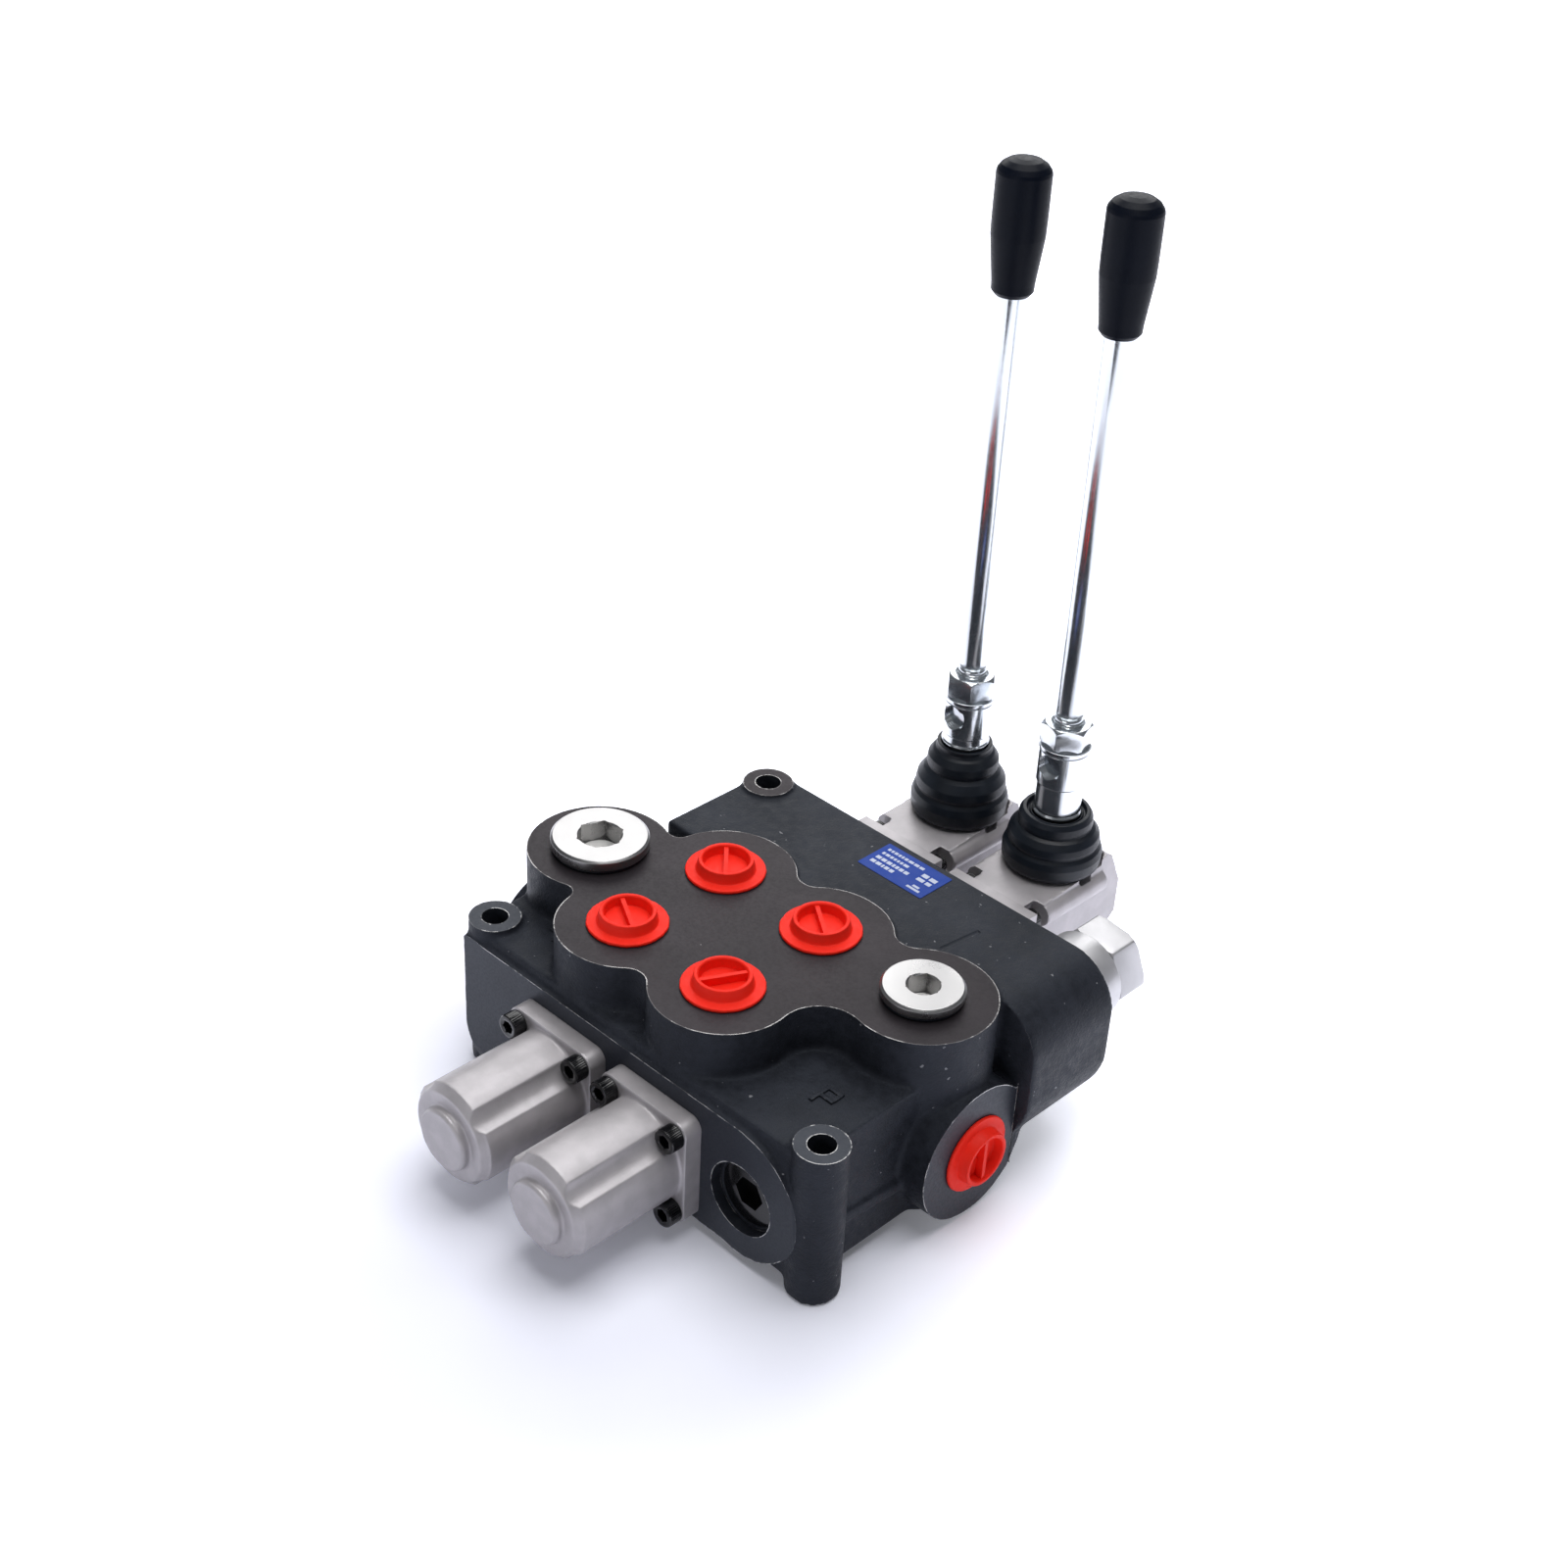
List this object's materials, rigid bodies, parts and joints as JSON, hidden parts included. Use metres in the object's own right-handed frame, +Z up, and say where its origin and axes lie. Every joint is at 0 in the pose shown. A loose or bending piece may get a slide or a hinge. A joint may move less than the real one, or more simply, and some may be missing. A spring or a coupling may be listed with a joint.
{
  "type": "hydraulic monoblock valve",
  "caption": "Cast monoblock hydraulic directional valve with spools, hand levers in rubber boots, spring caps, relief valve and capped ports",
  "frame": {"origin": "On the foot plane, midway between the two front mounting holes", "axes": "+Z up, along the mounting holes; +X across the spools, from the tank side to the inlet side; +Y along the spools, from the spring caps to the levers"},
  "size_m": [0.225, 0.31, 0.341],
  "materials": {
    "cast_body": "painted black, sand-cast",
    "red_plastic": "moulded",
    "bright_steel": "turned",
    "black_rubber": "matte",
    "black_oxide": "black oxide, oiled",
    "chromed_spool": "ground",
    "plain_steel": "plain",
    "blasted_aluminium": "cast and blasted",
    "zinc_plate": "bright zinc",
    "black_plastic": "moulded",
    "blue_label": "printed film"
  },
  "bodies": {
    "root": {"valve_body": "cast_body", "work_port_caps": "red_plastic", "inlet_port_cap": "red_plastic", "outlet_port_cap": "red_plastic", "inlet_top_plug": "bright_steel", "inlet_top_seal": "black_rubber", "outlet_top_plug": "bright_steel", "outlet_top_seal": "black_rubber", "check_plug": "black_oxide", "check_plug_seal": "black_rubber", "check_spring": "plain_steel", "relief_sleeve": "bright_steel", "relief_cap": "bright_steel", "relief_seal": "black_rubber", "relief_adjuster": "black_oxide", "relief_spring": "plain_steel", "data_label": "blue_label", "spring_cap_1": "blasted_aluminium", "cap_screws_1": "black_oxide", "spool_seals_1": "black_rubber", "lever_housing_1": "blasted_aluminium", "housing_screws_1": "black_oxide", "pivot_pin_1": "plain_steel", "boot_1": "black_rubber", "spring_cap_2": "blasted_aluminium", "cap_screws_2": "black_oxide", "spool_seals_2": "black_rubber", "lever_housing_2": "blasted_aluminium", "housing_screws_2": "black_oxide", "pivot_pin_2": "plain_steel", "boot_2": "black_rubber"},
    "lever_1": {"lever_arm_1": "plain_steel", "lever_adapter_1": "zinc_plate", "lock_washer_1": "zinc_plate", "lock_nut_1": "zinc_plate", "lever_rod_1": "zinc_plate", "lever_knob_1": "black_plastic"},
    "spool_set_1": {"spool_1": "chromed_spool", "spool_bolt_1": "plain_steel", "spring_seats_1": "plain_steel", "centring_spring_1": "plain_steel"},
    "lever_2": {"lever_arm_2": "plain_steel", "lever_adapter_2": "zinc_plate", "lock_washer_2": "zinc_plate", "lock_nut_2": "zinc_plate", "lever_rod_2": "zinc_plate", "lever_knob_2": "black_plastic"},
    "spool_set_2": {"spool_2": "chromed_spool", "spool_bolt_2": "plain_steel", "spring_seats_2": "plain_steel", "centring_spring_2": "plain_steel"},
    "check_valve": {"check_poppet": "bright_steel"},
    "relief_valve": {"relief_poppet": "bright_steel"}
  },
  "joints": [
    {"name": "lever_1_tilt", "type": "hinge", "parent": "root", "child": "lever_1", "pos_m": [-0.0345, 0.214, 0.053], "axis": [1, 0, 0], "range_deg": [-17, 17], "stiffness_Nm_per_rad": 0.6, "deforming": ["boot_1"]},
    {"name": "spool_1_slide", "type": "slide", "parent": "root", "child": "spool_set_1", "axis": [0, 1, 0], "range_m": [-0.007, 0.007]},
    {"name": "lever_2_tilt", "type": "hinge", "parent": "root", "child": "lever_2", "pos_m": [0.0175, 0.214, 0.053], "axis": [1, 0, 0], "range_deg": [-17, 17], "stiffness_Nm_per_rad": 0.6, "deforming": ["boot_2"]},
    {"name": "spool_2_slide", "type": "slide", "parent": "root", "child": "spool_set_2", "axis": [0, 1, 0], "range_m": [-0.007, 0.007]},
    {"name": "check_lift", "type": "slide", "parent": "root", "child": "check_valve", "axis": [0, -1, 0], "range_m": [0, 0.004], "stiffness_N_per_m": 200, "deforming": ["check_spring"]},
    {"name": "relief_lift", "type": "slide", "parent": "root", "child": "relief_valve", "axis": [0, 1, 0], "range_m": [0, 0.002], "stiffness_N_per_m": 400, "deforming": ["relief_spring"]}
  ],
  "couplings": [
    {"joint": "spool_1_slide", "follows": "lever_1_tilt", "m_per_rad": 0.023},
    {"joint": "spool_2_slide", "follows": "lever_2_tilt", "m_per_rad": 0.023}
  ]
}
